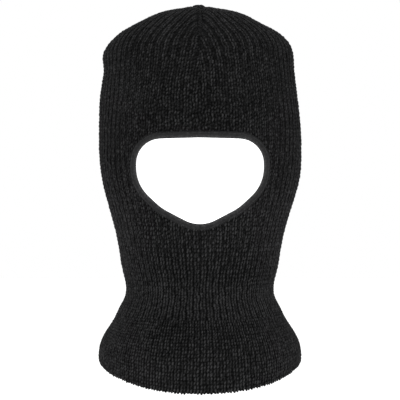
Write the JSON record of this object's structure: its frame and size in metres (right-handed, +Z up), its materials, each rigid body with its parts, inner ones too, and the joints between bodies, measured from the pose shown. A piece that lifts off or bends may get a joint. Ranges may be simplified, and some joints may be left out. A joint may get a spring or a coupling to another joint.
{
  "type": "balaclava",
  "caption": "Knitted one-hole balaclava: ribbed hood with a bound face opening, tight neck rib, flared skirt and an assumed blank care label inside.",
  "frame": {"origin": "inside the crown, on the middle line, where the top of the wearer's head bears on the fabric", "axes": "+Z up out of the crown, -Y the way the face looks, +X the wearer's left"},
  "size_m": [0.1766, 0.1981, 0.3251],
  "materials": {
    "knit": "thick soft acrylic rib knit, matt, slightly fuzzy",
    "neck_knit": "the same yarn in a tight vertical rib",
    "binding": "smooth close-knit acrylic strip",
    "thread": "matt black yarn and sewing thread",
    "label": "plain woven satin tape, blank"
  },
  "bodies": {
    "hood": {"crown_gore_front_left": "knit", "crown_gore_front_right": "knit", "crown_gore_back_left": "knit", "crown_gore_back_right": "knit", "dart_seam_front": "thread", "dart_seam_left": "thread", "dart_seam_right": "thread", "crown_knot": "thread", "head_panel": "knit", "neck_rib": "neck_knit", "skirt": "knit", "hem_edge": "knit", "back_seam": "thread", "face_binding": "binding", "binding_join": "thread", "linking_thread": "thread", "label_stitches": "thread"},
    "label": {"care_label": "label"}
  },
  "joints": [
    {"name": "label_swing", "type": "hinge", "parent": "hood", "child": "label", "pos_m": [0, 0.0616, -0.228], "axis": [-1, 0, 0], "range_deg": [0, 150]}
  ]
}
